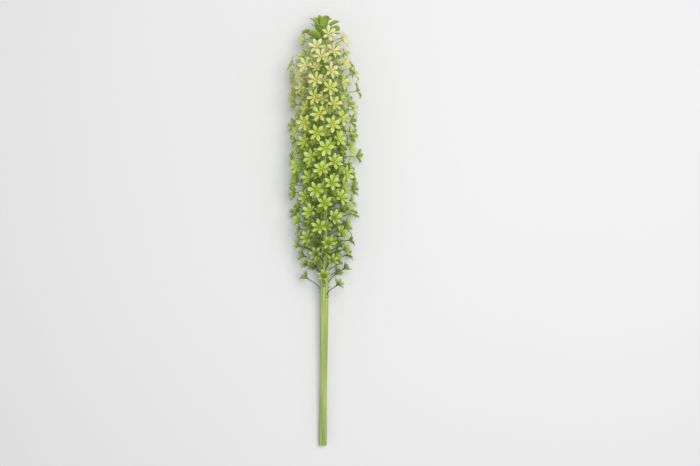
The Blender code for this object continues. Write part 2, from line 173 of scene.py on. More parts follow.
def floret_place(number, turns=None, reach=1.0):
    """Where a floret leaves the stalk and how it stands, before it is pushed.

    turns is its place on the spiral, which is its number unless it stands between two others.
    """
    turns = number if turns is None else turns
    t = turns / (FLORET_COUNT - 1)
    along = FIRST_FLORET + (LAST_FLORET - FIRST_FLORET) * t**CROWDING
    along += COLOUR_BREAK * (1 - t) if turns >= OLDER_COUNT else -COLOUR_BREAK * t
    azimuth = FIRST_AZIMUTH + turns * GOLDEN_ANGLE + AZIMUTH_PLAY * chance(number, 1)
    _, tangent, _ = axis_frame(along)
    out = outward(along, azimuth)
    length = between(PEDICEL_LENGTHS, t) * (1 + LENGTH_PLAY * chance(number, 2)) * reach
    rise = math.radians(between(PEDICEL_RISES, t)) + RISE_PLAY * chance(number, 3)
    face_rise = math.radians(between(FACE_RISES, t)) + FACE_PLAY * chance(number, 4)
    foot = axis_point(along) + out * (stem_radius(along, azimuth) - PEDICEL_ROOT)
    face = out * math.cos(face_rise) + tangent * math.sin(face_rise)
    face = (face + out.cross(tangent) * math.tan(FACE_PLAY * chance(number, 5))).normalized()
    start_rise = rise + PEDICEL_STEEPER
    first = (tangent - face * tangent.dot(face)).normalized()
    return {
        "number": number,
        "t": t,
        "along": along,
        "azimuth": azimuth,
        "foot": foot,
        "head": foot + (out * math.cos(rise) + tangent * math.sin(rise)) * length,
        "face": face,
        "first": first,
        "second": face.cross(first),
        "leaving": out * math.cos(start_rise) + tangent * math.sin(start_rise),
        "length": length,
        "spin": SPIN_PLAY * chance(number, 6),
        "bud": t > BUDS_ABOVE and number % BUD_EVERY == 1,
        "size": 1.0,
        "cup": CUP_PLAY * chance(number, 8),
    }


def tepal_stand(place, k):
    """(turn, pitch, lean) of a floret's tepal: its direction, its rise and its sideways bend."""
    pitch = math.radians(between(TEPAL_PITCHES, place["t"])) + PITCH_PLAY * chance(place["number"], 10 + k)
    turn = place["spin"] + math.tau * k / TEPAL_COUNT
    return turn, pitch + place["cup"], LEAN_PLAY * chance(place["number"], 20 + k)


def spot(place, turn, radius, sideways, height):
    """A point of a floret, from its own turn, radius, sideways step and height."""
    flat = place["first"] * math.cos(turn) + place["second"] * math.sin(turn)
    square = place["second"] * math.cos(turn) - place["first"] * math.sin(turn)
    return place["head"] + flat * radius + square * sideways + place["face"] * height


def lowest_point(place):
    """The height of a plain floret's lowest point over the floor."""
    if place["bud"]:
        turns = [math.tau * k / TEPAL_COUNT for k in range(TEPAL_COUNT)]
        waist = [spot(place, a, BUD_RADIUS, 0.0, BUD_LENGTH * BUD_WIDEST_AT) for a in turns]
        return min(p.z for p in (*waist, spot(place, 0.0, 0.0, 0.0, BUD_LENGTH)))
    t = place["t"]
    length, half = between(TEPAL_LENGTHS, t), between(CAD_TEPAL_WIDTHS, t) / 2
    thick, edge = CAD_TEPAL_THICKNESS / 2, CAD_TEPAL_HOLLOW
    points = [place["head"] + place["face"] * between(OVARY_HEIGHTS, t)]
    for k in range(TEPAL_COUNT):
        turn, pitch, lean = tepal_stand(place, k)
        side = half * (1.0 if k % 2 else OUTER_TEPAL_WIDTH)
        corners = (
            (CAD_WIDEST_AT, -side, edge),
            (CAD_WIDEST_AT, side, edge),
            (1.0 - TEPAL_START / length, 0.0, -CAD_TIP_DROP),
            (CAD_BEND_AT, 0.0, thick),
            (CAD_BEND_AT, 0.0, -thick),
        )
        for share, sideways, height in corners:
            reach = length * share
            radius, lift = TEPAL_START + reach * math.cos(pitch), reach * math.sin(pitch) + height
            points.append(spot(place, turn + lean * share, radius, sideways, lift))
    return min(p.z for p in points)


def floret_places():
    """All florets: they push each other aside, and the floor pushes up the lowest."""
    places = [floret_place(number) for number in range(FLORET_COUNT)]
    for _ in range(SPACING_ROUNDS):
        for one, other in itertools.combinations(places, 2):
            apart = other["head"] - one["head"]
            lacking = SPACING - apart.length
            if lacking > 0.0:
                push = apart.normalized() * lacking * PUSH
                one["head"] = one["head"] - push
                other["head"] = other["head"] + push
        for place in places:
            dip = -lowest_point(place)
            if dip > 0.0:
                place["head"] = place["head"] + Vector((0.0, dip * FORWARD_OF_LIFT, dip))
    return places


places = floret_places()
print("florets of the frame:", len(places))

# %% [markdown]
# The frame's florets are as many as its solids can carry. The real raceme is denser: between them,
# on shorter pedicels, stand smaller and more cupped florets, which close the view to the far side.
# They give way to the frame's florets and stay inside their reach, so the outline stays the frame's.

# %% Florets that stand further in
INNER_COUNT, INNER_NUMBERS = 128, 1000
INNER_FIRST, INNER_LAST = 7.5, 136.5
INNER_REACH, INNER_SIZE = 0.66, 0.86
INNER_CUP = math.radians(12)
INNER_SPACING, INNER_ROUNDS = 0.0245, 20
NEAREST_TO_STALK, FURTHEST_FROM_STALK = 0.024, 0.049


def keep_within(place):
    """Holds an inner floret's head between two distances from the stalk, and turns it outward."""
    _, tangent, _ = axis_frame(place["along"])
    spoke = place["head"] - axis_point(place["along"])
    rise = tangent * spoke.dot(tangent)
    spoke = spoke - rise
    distance = min(FURTHEST_FROM_STALK, max(NEAREST_TO_STALK, spoke.length))
    out = spoke.normalized()
    place["head"] = axis_point(place["along"]) + out * distance + rise
    lift = math.radians(between(FACE_RISES, place["t"])) + 2 * FACE_PLAY * abs(chance(place["number"], 4))
    place["face"] = out * math.cos(lift) + tangent * math.sin(lift)
    place["first"] = (tangent - place["face"] * tangent.dot(place["face"])).normalized()
    place["second"] = place["face"].cross(place["first"])


inner = []
for step in range(INNER_COUNT):
    turns = INNER_FIRST + round((INNER_LAST - INNER_FIRST) * step / (INNER_COUNT - 1))
    place = floret_place(INNER_NUMBERS + step, turns, INNER_REACH)
    place["bud"] = False
    place["size"] = INNER_SIZE * (1 + 0.08 * chance(place["number"], 7))
    place["cup"] += INNER_CUP
    inner.append(place)
for _ in range(INNER_ROUNDS):
    for place in inner:
        for other in places + inner:
            apart = place["head"] - other["head"]
            if 0.0 < apart.length < INNER_SPACING:
                place["head"] = place["head"] + apart.normalized() * (INNER_SPACING - apart.length) * PUSH
        keep_within(place)
        dip = max(0.0, -lowest_point(place))
        place["head"] = place["head"] + Vector((0.0, dip * FORWARD_OF_LIFT, dip))

lower = places[:OLDER_COUNT] + [place for place in inner if place["t"] * (FLORET_COUNT - 1) < OLDER_COUNT]
upper = places[OLDER_COUNT:] + [place for place in inner if place["t"] * (FLORET_COUNT - 1) >= OLDER_COUNT]
open_lower = [place for place in lower if not place["bud"]]
open_upper = [place for place in upper if not place["bud"]]
closed_buds = [place for place in places if place["bud"]]
print("open florets:", len(open_lower) + len(open_upper), "buds:", len(closed_buds))

# %% [markdown]
# ## Materials as sums
#
# Every finish below is worked out by shader nodes. Node trees are easier to read as sums, so one
# small class wraps a node's output and lets Python's own signs add the Math nodes. One method makes
# any other node: it sets the node's settings first and then its sockets.

# %% Shader sums
def tone(red, green, blue):
    """A colour as it looks on a screen, from 0 to 255, in the linear values that shaders take."""
    linear = [((c / 255 + 0.055) / 1.055) ** 2.4 if c > 10 else c / 255 / 12.92 for c in (red, green, blue)]
    return (*linear, 1.0)


class Wire:
    """A node's output that can be written in sums."""

    def __init__(self, finish, socket):
        self.finish = finish
        self.socket = socket

    def math(self, operation, first, second=0.0):
        return self.finish.node("ShaderNodeMath", {"operation": operation}, {0: first, 1: second})

    def __add__(self, other):
        return self.math("ADD", self, other)

    __radd__ = __add__

    def __mul__(self, other):
        return self.math("MULTIPLY", self, other)

    __rmul__ = __mul__

    def __sub__(self, other):
        return self.math("SUBTRACT", self, other)

    def __rsub__(self, other):
        return self.math("SUBTRACT", other, self)

    def size(self):
        return self.math("ABSOLUTE", self)

    def wave(self):
        return self.math("SINE", self)


class Finish:
    """A material whose surface is one Principled shader, with some light let through if it is thin."""

    def __init__(self, name):
        self.material = bpy.data.materials.new(name)
        self.material.use_nodes = True
        self.tree = self.material.node_tree
        self.shader = self.tree.nodes["Principled BSDF"]

    def node(self, kind, settings, sockets, output=0):
        made = self.tree.nodes.new(kind)
        for setting, value in settings.items():
            if setting == "stops":
                ramp = made.color_ramp
                while len(ramp.elements) < len(value):
                    ramp.elements.new(1.0)
                for stop, (place, colour) in zip(ramp.elements, value):
                    stop.position = place
                    stop.color = colour
            else:
                setattr(made, setting, value)
        for name, value in sockets.items():
            self.plug(made.inputs[name], value)
        return Wire(self, made.outputs[output])

    def plug(self, socket, value):
        if isinstance(value, Wire):
            self.tree.links.new(value.socket, socket)
        else:
            socket.default_value = value

    def set(self, **sockets):
        for name, value in sockets.items():
            self.plug(self.shader.inputs[name.replace("_", " ")], value)

    def place(self):
        """Object coordinates, which on these pieces are the row's own metres."""
        return self.node("ShaderNodeTexCoord", {}, {}, "Object")

    def stretched(self, scale):
        return self.node("ShaderNodeMapping", {}, {"Vector": self.place(), "Scale": scale})

    def along_stalk(self, stretch):
        """Object coordinates drawn out along the rising stalk."""
        sockets = {"Vector": self.place(), "Rotation": (RISE, 0, 0), "Scale": (1, stretch, 1)}
        return self.node("ShaderNodeMapping", {"vector_type": "TEXTURE"}, sockets)

    def part(self, vector, output):
        return self.node("ShaderNodeSeparateXYZ", {}, {0: vector}, output)

    def attribute(self, name):
        return self.node("ShaderNodeAttribute", {"attribute_name": name}, {}, "Fac")

    def noise(self, vector, scale, detail=3.0):
        return self.node("ShaderNodeTexNoise", {}, {"Vector": vector, "Scale": scale, "Detail": detail})

    def step(self, value, start, end):
        """0 before start and 1 after end, with a smooth change between them; start may be the larger."""
        sockets = {"Value": value, "From Min": start, "From Max": end}
        return self.node("ShaderNodeMapRange", {"interpolation_type": "SMOOTHSTEP"}, sockets)

    def ramp(self, value, stops):
        return self.node("ShaderNodeValToRGB", {"stops": stops}, {"Fac": value})

    def mix(self, share, first, second):
        settings = {"data_type": "RGBA", "clamp_factor": True}
        return self.node("ShaderNodeMix", settings, {0: share, 6: first, 7: second}, 2)

    def bump(self, height, distance, strength=1.0):
        sockets = {"Height": height, "Distance": distance, "Strength": strength}
        return self.node("ShaderNodeBump", {}, sockets)

    def let_light_through(self, share, colour):
        """Thin tissue glows where light comes from behind."""
        thin = self.node("ShaderNodeBsdfTranslucent", {}, {"Color": colour})
        both = self.node("ShaderNodeMixShader", {}, {0: share, 1: Wire(self, self.shader.outputs[0]), 2: thin})
        self.tree.links.new(both.socket, self.tree.nodes["Material Output"].inputs["Surface"])


print("shader helpers are ready")

# %% [markdown]
# ## Modelling once and copying
#
# The raceme repeats the same few shapes hundreds of times. Each is modelled once, as by hand: a
# primitive is added, its rows are scaled and moved in edit mode, and modifiers give it thickness.
# Each copy then gets its own mesh, bent to its own place, and numbers for its material: how young
# the floret is, a random tint and, for a floret that stands further in, a painted shade. In the end the copies are
# joined as one piece.

# %% Helpers for blanks and copies
def start_edit():
    bpy.ops.object.mode_set(mode="EDIT")
    bpy.ops.mesh.select_mode(type="VERT")


def pick(blank, wanted):
    """In edit mode, selects the vertices whose place is wanted, and the faces between them."""
    work = bmesh.from_edit_mesh(blank.data)
    for vertex in work.verts:
        vertex.select = wanted(vertex.co)
    work.select_flush_mode()
    bmesh.update_edit_mesh(blank.data)


def scale_rows(factor, centre):
    bpy.ops.transform.resize(value=factor, center_override=centre)


def move_rows(step):
    bpy.ops.transform.translate(value=step)


def end_edit(blank):
    bpy.ops.mesh.select_all(action="SELECT")
    bpy.ops.mesh.normals_make_consistent(inside=False)
    bpy.ops.object.mode_set(mode="OBJECT")
    bpy.ops.object.transform_apply(location=True, rotation=True, scale=True)
    blank.data.shade_smooth()


def apply_modifier(blank, kind, **settings):
    made = blank.modifiers.new(kind.lower(), kind)
    for setting, value in settings.items():
        setattr(made, setting, value)
    bpy.ops.object.modifier_apply(modifier=made.name)


def thicken(blank, thickness):
    """Gives a sheet its thickness, and marks its underside with 1 for the material."""
    apply_modifier(blank, "SOLIDIFY", thickness=thickness, offset=0.0)
    under = blank.data.attributes.new("under", "FLOAT", "POINT")
    under.data.foreach_set("value", [float(v.normal.z < 0.0) for v in blank.data.vertices])


def blade_blank(name, columns, rows, size, outline, arch, channel, thickness):
    """A flat grid hollowed column by column, then scaled row by row to a blade's outline.

    Its base is at the origin and its tip on +Y. outline is the (place, share of the width) of each
    row, arch the height of each row and channel the height of the edges over the midrib where the
    blade is widest.
    """
    length, width = size
    bpy.ops.object.select_all(action="DESELECT")
    bpy.ops.mesh.primitive_grid_add(x_subdivisions=columns, y_subdivisions=rows, size=1, location=(0, 0.5, 0))
    blank = bpy.context.object
    blank.name = name
    bpy.ops.object.transform_apply(location=True)
    start_edit()
    for column in range(columns + 1):
        offset = column / columns - 0.5
        pick(blank, lambda co: abs(co.x - offset) < 0.25 / columns)
        move_rows((0, 0, channel * abs(2 * offset) ** 1.6))
    for row, ((place, share), height) in enumerate(zip(outline, arch)):
        old = row / rows
        pick(blank, lambda co: abs(co.y - old) < 0.25 / rows)
        scale_rows((width * share, 1, share), (0, old, 0))
        move_rows((0, place * length - old, height))
    end_edit(blank)
    thicken(blank, thickness)
    return blank


def tube_blank(name, sides, rings):
    """A tube of unit radius and unit length, drawn up along +Z ring by ring."""
    bpy.ops.object.select_all(action="DESELECT")
    bpy.ops.mesh.primitive_circle_add(vertices=sides, radius=1.0, fill_type="NGON", location=(0, 0, 0))
    blank = bpy.context.object
    blank.name = name
    start_edit()
    bpy.ops.mesh.select_all(action="SELECT")
    for _ in range(rings):
        bpy.ops.mesh.extrude_region_move(TRANSFORM_OT_translate={"value": (0, 0, 1 / rings)})
    end_edit(blank)
    return blank


def points_of(mesh):
    points = np.empty(len(mesh.vertices) * 3)
    mesh.vertices.foreach_get("co", points)
    return points.reshape(-1, 3)


def grow(name, blank, placings, finish):
    """Copies a blank to every placing, each copy with its own mesh, and joins the copies.

    A placing is (a function that lays the blank's points in place, the copy's traits by name).
    """
    start = points_of(blank.data)
    bpy.ops.object.select_all(action="DESELECT")
    for lay, traits in placings:
        copy = blank.copy()
        copy.data = blank.data.copy()
        bpy.context.scene.collection.objects.link(copy)
        copy.data.vertices.foreach_set("co", lay(start).ravel())
        for trait, value in traits.items():
            layer = copy.data.attributes.new(trait, "FLOAT", "POINT")
            layer.data.foreach_set("value", np.full(len(start), value))
        copy.select_set(True)
    bpy.context.view_layer.objects.active = copy
    bpy.ops.object.join()
    piece = bpy.context.object
    piece.name = name
    piece.data.name = name
    piece.data.materials.clear()
    piece.data.materials.append(finish.material)
    start_edit()
    end_edit(piece)  # a copy laid as its mirror image is inside out, so the faces are turned outwards
    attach(piece, "root")
    triangles = sum(len(face.vertices) - 2 for face in piece.data.polygons)
    print(f"{name}: {len(placings)} copies, {triangles} triangles")
    return piece


def bend_inside(points, freedom):
    """Bends a copy back where it would leave the frame's box; freedom is 0 at its root, 1 at its tip."""
    low, high = (np.array(corner) for corner in cad_box)
    for _ in range(3):
        under = np.clip(low - points.min(axis=0), 0.0, None)
        over = np.clip(points.max(axis=0) - high, 0.0, None)
        points = points + (under - over) * freedom
    return points


def discard(*blanks):
    for blank in blanks:
        bpy.data.objects.remove(blank)


def vectors(*columns):
    return [np.array(column[:]) for column in columns]


# %% [markdown]
# ## The stalk
#
# The stalk is thick, smooth and juicy, with a waxy skin. Where the florets grow it is drawn into
# shallow ribs. A circle is extruded ring by ring and then bent along the stalk's line: slightly
# curved, a little thinner in the middle of the bare part. The florist's knife left a flat end, which is
# bevelled a hair so that it catches the light.

# %% Model the stalk
STALK_SIDES, STALK_RINGS = 64, 110
CROWN_HEIGHT, CROWN_TIP = 0.028, 0.4
KNIFE_BEVEL, CUT_HOLLOW = 0.0005, 0.0006
CUT_RINGS = (0.0022, 0.0026)
RIND_INSIDE, RIND_OUTSIDE = 0.0070, 0.0080


def model_stalk():
    """A straight tube of the cut end's width, with a bevelled rim and a hollowed cut."""
    radius = STEM_RADII[0][1]
    blank = tube_blank("stalk_blank", STALK_SIDES, STALK_RINGS)
    start_edit()
    bpy.ops.mesh.select_all(action="SELECT")
    scale_rows((radius, radius, STEM_LENGTH + CROWN_HEIGHT), (0, 0, 0))
    pick(blank, lambda co: co.z < 0.0001)
    bpy.ops.mesh.bevel(offset=KNIFE_BEVEL, segments=2, affect="EDGES")
    for thickness in CUT_RINGS:
        pick(blank, lambda co: co.z < 0.0001)
        bpy.ops.mesh.inset(thickness=thickness)
        move_rows((0, 0, CUT_HOLLOW / len(CUT_RINGS)))
    end_edit(blank)
    ribs = blank.data.attributes.new("rib", "FLOAT", "POINT")
    ribs.data.foreach_set("value", [rib(v.co.z, math.atan2(v.co.y, v.co.x)) for v in blank.data.vertices])
    return blank


def lay_stalk(points):
    laid = []
    for x, y, along in points:
        azimuth = math.atan2(y, x)
        narrowing = 1 - (1 - CROWN_TIP) * max(0.0, (along - STEM_LENGTH) / CROWN_HEIGHT)
        share = math.hypot(x, y) / STEM_RADII[0][1]
        spoke = outward(along, azimuth) * stem_radius(along, azimuth) * narrowing * share
        laid.append(axis_point(along) + spoke)
    return np.array(laid)


# %% [markdown]
# ### The stalk's skin
#
# Up close the skin has fine threads along it, pale specks, and a bloom of wax that makes some places
# duller. It is paler apple green higher up and more olive near the cut. The ribs carry painted shade
# in their valleys and a painted highlight on their ridges. The cut itself is pale and wet, dotted with
# the ends of the vessels, which in a lily are scattered and not set in a ring.

# %% The stalk's finish
def stalk_finish():
    finish = Finish("stalk_skin")
    along = finish.part(finish.place(), "Y")
    threads = finish.noise(finish.along_stalk(45.0), 1500.0)
    streaks = finish.noise(finish.along_stalk(45.0), 330.0, 1.0)
    clouds = finish.noise(finish.stretched((1.0, 0.25, 1.0)), 38.0)
    ridge = finish.attribute("rib")
    height = finish.step(along, CUT_END_Y, 0.30)
    skin = finish.ramp(
        height * 0.85 + clouds * 0.25 - 0.05,
        (
            (0.0, tone(121, 141, 56)),
            (0.25, tone(149, 166, 80)),
            (0.55, tone(164, 181, 97)),
            (1.0, tone(150, 170, 76)),
        ),
    )
    skin = finish.mix(finish.step(streaks, 0.48, 0.66) * 0.65, skin, tone(192, 208, 132))
    skin = finish.mix(finish.step(streaks, 0.46, 0.30) * 0.60, skin, tone(120, 147, 60))
    skin = finish.mix(finish.step(threads, 0.46, 0.62) * 0.45, skin, tone(112, 142, 60))
    skin = finish.mix(finish.step(threads, 0.42, 0.30) * 0.35, skin, tone(198, 212, 142))
    # painted shade in the rib valleys, then a painted highlight on the rib ridges
    skin = finish.mix(finish.step(ridge, 0.1, -0.9) * 0.70, skin, tone(88, 130, 34))
    skin = finish.mix(finish.step(ridge, 0.3, 1.0) * 0.6, skin, tone(190, 208, 120))
    cells = finish.node(
        "ShaderNodeTexVoronoi",
        {"feature": "F1"},
        {"Vector": finish.stretched((1.0, 0.6, 1.0)), "Scale": 520.0},
        "Distance",
    )
    specks = finish.step(cells, 0.22, 0.08) * finish.step(clouds, 0.35, 0.65)
    skin = finish.mix(specks * 0.40, skin, tone(208, 222, 160))
    bundles = finish.node(
        "ShaderNodeTexVoronoi", {"feature": "F1"}, {"Vector": finish.place(), "Scale": 640.0}, "Distance"
    )
    flesh = finish.mix(finish.step(bundles, 0.34, 0.16), tone(214, 222, 170), tone(150, 168, 96))
    sideways = finish.part(finish.place(), "X") - CUT_END_X
    upwards = finish.part(finish.place(), "Z") - STEM_RADII[0][1]
    rind = finish.step(sideways * sideways + upwards * upwards, RIND_INSIDE**2, RIND_OUTSIDE**2)
    flesh = finish.mix(rind * 0.8, flesh, tone(156, 182, 96))
    cut = finish.step(along, CUT_END_Y + 0.0011, CUT_END_Y + 0.0004)
    finish.set(
        Base_Color=finish.mix(cut, skin, flesh),
        Roughness=0.38 + clouds * 0.22 - cut * 0.12,
        Coat_Weight=0.45,
        Coat_Roughness=0.24,
        Normal=finish.bump(threads + specks * 0.4, 0.00020),
    )
    return finish


stalk_blank = model_stalk()
stalk = grow("stalk", stalk_blank, [(lay_stalk, {})], stalk_finish())
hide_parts("scape")
discard(stalk_blank)

# %% [markdown]
# ## The pedicels
#
# Each floret hangs on its own thin stalk, which leaves the main one steeply and then bends outward to
# turn the floret's face to the light. It is a little thicker at both ends. The lowest are long, dark
# green and bare, because their florets have set seed. A six-sided tube is bent along a curve with the
# floret's own directions at its ends.

# %% Model the pedicels
PEDICEL_RADII = ((0.0, 0.0019), (0.12, 0.0012), (0.5, 0.00095), (0.86, 0.0010), (1.0, 0.0017))


def lay_pedicel(place):
    foot, face, leaving, first = vectors(place["foot"], place["face"], place["leaving"], place["first"])
    behind = np.array(place["head"][:]) - face * RECEPTACLE_DEPTH * 0.5
    first_bend = foot + leaving * place["length"] * PEDICEL_BENDS[0]
    last_bend = behind - face * place["length"] * PEDICEL_BENDS[1]

    def lay(points):
        share = points[:, 2:3]
        rest = 1 - share
        centre = foot * rest**3 + first_bend * 3 * rest**2 * share
        centre = centre + last_bend * 3 * rest * share**2 + behind * share**3
        heading = (first_bend - foot) * rest**2 + (last_bend - first_bend) * 2 * rest * share
        heading = heading + (behind - last_bend) * share**2
        heading /= np.linalg.norm(heading, axis=1, keepdims=True)
        across = first - heading * (heading @ first)[:, None]
        across /= np.linalg.norm(across, axis=1, keepdims=True)
        other = np.cross(heading, across)
        stations, radii = zip(*PEDICEL_RADII)
        radius = np.interp(points[:, 2], stations, radii)[:, None]
        return centre + (across * points[:, 0:1] + other * points[:, 1:2]) * radius

    return lay


def traits_of(place):
    """What a floret's materials need to know of it, each from 0 to 1.

    youth is 0 for the oldest, lowest floret; shade is 1 for one that stands further in, whose tepals get a painted
    shade.
    """
    return {
        "youth": min(1.0, max(0.0, place["t"] + 0.035 * chance(place["number"], 101))),
        "tint": 0.5 + 0.5 * chance(place["number"], 102),
        "shade": float(place["number"] >= INNER_NUMBERS),
    }


# %% The pedicels' finish
def pedicel_finish():
    finish = Finish("pedicel_skin")
    streaks = finish.noise(finish.stretched((1.0, 1.0, 1.0)), 420.0)
    youth = finish.attribute("youth")
    green = finish.ramp(
        youth + streaks * 0.10 - 0.05,
        (
            (0.0, tone(60, 84, 22)),
            (0.14, tone(76, 108, 26)),
            (0.35, tone(108, 146, 26)),
            (0.70, tone(136, 172, 36)),
            (1.0, tone(158, 190, 60)),
        ),
    )
    green = finish.mix(finish.attribute("tint") * 0.25, green, tone(150, 160, 60))
    finish.set(
        Base_Color=green,
        Roughness=0.40 + streaks * 0.2,
        Normal=finish.bump(streaks, 0.0001),
    )
    return finish


pedicel_blank = tube_blank("pedicel_blank", 6, 9)
pedicel_skin = pedicel_finish()
for name, group, slot in (("lower", lower, "green_florets"), ("upper", upper, "cream_florets")):
    placings = [(lay_pedicel(place), traits_of(place)) for place in group]
    grow("pedicels_" + name, pedicel_blank, placings, pedicel_skin)
discard(pedicel_blank)

# %% [markdown]
# ## The tepals
#
# A lily has no separate sepals and petals, so its six equal leaves are called tepals. The youngest are
# creamy white and slim, the middle ones broad and lime green, and the oldest narrow, stiff and green.
# Each has a green midrib and a thin green outline with paler tissue between. Three blanks are enough,
# one for each age. A floret takes the blank of its age, and each copy follows its own pitch and lean.

# %% Model the tepals
TEPAL_BLANK_LENGTH = 0.0180
TEPAL_THICKNESS = 0.00042
TEPAL_PLACES = (0.0, 0.15, 0.34, 0.55, 0.76, 0.91, 1.0)
OLD_TEPAL = {
    "width": 0.0074,
    "shares": (0.38, 0.60, 0.90, 1.0, 0.70, 0.33, 0.02),
    "arch": (0.0, 0.0003, 0.0006, 0.0006, 0.0003, -0.0002, -0.0006),
    "channel": 0.0013,
}
MIDDLE_TEPAL = {
    "width": 0.0089,
    "shares": (0.25, 0.43, 0.80, 1.0, 0.77, 0.37, 0.02),
    "arch": (0.0, -0.0002, -0.0002, 0.0001, 0.0004, 0.0001, -0.0007),
    "channel": 0.0010,
}
YOUNG_TEPAL = {
    "width": 0.0084,
    "shares": (0.25, 0.42, 0.78, 1.0, 0.77, 0.37, 0.02),
    "arch": (0.0, -0.0001, 0.0001, 0.0004, 0.0003, -0.0005, -0.0016),
    "channel": 0.0009,
}


def tepal_blank(name, kind):
    size = (TEPAL_BLANK_LENGTH, kind["width"])
    outline = list(zip(TEPAL_PLACES, kind["shares"]))
    return blade_blank(name, 4, 6, size, outline, kind["arch"], kind["channel"], TEPAL_THICKNESS)


def lay_tepal(place, k):
    turn, pitch, lean = tepal_stand(place, k)
    head, face, first, second = vectors(place["head"], place["face"], place["first"], place["second"])
    length = between(TEPAL_LENGTHS, place["t"]) * place["size"] - TEPAL_START
    widening = (1.0 if k % 2 else OUTER_TEPAL_WIDTH) * (1 + 0.08 * chance(place["number"], 30 + k)) * place["size"]
    twist = 0.45 * chance(place["number"], 40 + k)
    curl = 0.0012 + 0.0022 * chance(place["number"], 45 + k)
    step_up = 0.00025 if k % 2 else -0.00015

    def lay(points):
        share = points[:, 1:2] / TEPAL_BLANK_LENGTH
        angle = turn + lean * share
        flat = first * np.cos(angle) + second * np.sin(angle)
        square = second * np.cos(angle) - first * np.sin(angle)
        sideways = points[:, 0:1] * widening
        reach = length * share
        height = reach * math.sin(pitch) + points[:, 2:3] + sideways * twist * share + step_up - curl * share**3
        laid = head + flat * (TEPAL_START + reach * math.cos(pitch)) + square * sideways + face * height
        return bend_inside(laid, share)

    return lay


def tepal_placings(group):
    return [(lay_tepal(place, k), traits_of(place)) for place in group for k in range(TEPAL_COUNT)]


# %% The tepals' finish
def tepal_finish(name, glow):
    """glow is the colour of the light that comes through."""
    finish = Finish(name)
    uv = finish.node("ShaderNodeUVMap", {"uv_map": "UVMap"}, {})
    across = (finish.part(uv, "X") - 0.5).size() * 2
    along = finish.part(uv, "Y")
    cloud = finish.noise(finish.place(), 260.0)
    youth = finish.attribute("youth") + (finish.attribute("tint") - 0.5) * 0.08
    body = finish.ramp(
        youth,
        (
            (0.0, tone(222, 230, 160)),
            (0.12, tone(218, 227, 146)),
            (0.30, tone(225, 233, 154)),
            (0.55, tone(228, 235, 160)),
            (0.68, tone(232, 238, 172)),
            (0.80, tone(243, 245, 200)),
            (1.0, tone(247, 248, 218)),
        ),
    )
    line = finish.ramp(
        youth,
        (
            (0.0, tone(106, 136, 14)),
            (0.12, tone(124, 156, 10)),
            (0.35, tone(146, 178, 10)),
            (0.62, tone(160, 188, 20)),
            (0.85, tone(172, 194, 74)),
            (1.0, tone(180, 200, 90)),
        ),
    )
    throat = finish.ramp(
        youth,
        (
            (0.0, tone(120, 150, 22)),
            (0.25, tone(164, 192, 28)),
            (0.60, tone(198, 210, 46)),
            (0.78, tone(230, 220, 118)),
            (1.0, tone(238, 228, 152)),
        ),
    )
    midrib = finish.step(across, 0.24, 0.05) * (1.0 - along * 0.5)
    outline = finish.step(across, 0.70, 0.93) * 0.9
    veins = (across * 26.0 + cloud * 2.0).wave() * 0.5 + 0.5
    colour = finish.mix(veins * 0.18, body, line)
    colour = finish.mix(finish.step(cloud, 0.45, 0.75) * 0.20, colour, line)
    colour = finish.mix(outline, colour, line)
    colour = finish.mix(midrib * 0.85, colour, line)
    colour = finish.mix(finish.step(along, 0.90, 1.0) * 0.7, colour, line)
    colour = finish.mix(finish.step(along, 0.62, 0.12), colour, throat)
    colour = finish.mix(finish.step(finish.attribute("tint"), 0.55, 1.0) * 0.20, colour, throat)
    colour = finish.mix(finish.step(finish.attribute("tint"), 0.45, 0.0) * 0.18, colour, line)
    # painted shade: the tepals of florets that stand further in are drawn darker and greener
    colour = finish.mix(finish.attribute("shade") * 0.24, colour, line)
    colour = finish.mix(finish.attribute("under") * 0.46, colour, line)
    finish.set(
        Base_Color=colour,
        Roughness=0.46 + cloud * 0.18,
        Normal=finish.bump(veins * 0.5 - midrib, 0.00010),
    )
    finish.let_light_through(0.30, glow)
    return finish


old_blank = tepal_blank("old_tepal", OLD_TEPAL)
middle_blank = tepal_blank("middle_tepal", MIDDLE_TEPAL)
young_blank = tepal_blank("young_tepal", YOUNG_TEPAL)
green_tepals = tepal_finish("green_tepals", tone(198, 226, 24))
cream_tepals = tepal_finish("cream_tepals", tone(222, 232, 96))
OLD_UNTIL = 0.13
oldest = [place for place in open_lower if place["t"] < OLD_UNTIL]
middle = [place for place in open_lower if place["t"] >= OLD_UNTIL]
tepals_oldest = grow("tepals_oldest", old_blank, tepal_placings(oldest), green_tepals)
tepals_lower = grow("tepals_lower", middle_blank, tepal_placings(middle), green_tepals)
tepals_upper = grow("tepals_upper", young_blank, tepal_placings(open_upper), cream_tepals)
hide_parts("raceme_lower")
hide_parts("raceme_upper")
discard(old_blank, middle_blank, young_blank)

# %% [markdown]
# ## The ovaries
#
# The pistil in the middle of a floret has three rounded chambers and a short style. It swells as the
# floret ages, from a small cream dome to a fat green fruit. A sphere is the start: three of its
# meridians are pressed in as grooves, and its top is drawn out into the style.

# %% Model the ovaries
OVARY_SIDES, OVARY_ROWS = 12, 6
OVARY_RADII = ((0.0, 0.0036), (0.15, 0.0030), (0.35, 0.0023), (1.0, 0.0019))
STYLE_HEIGHT = 0.55  # of the ovary's height, over it


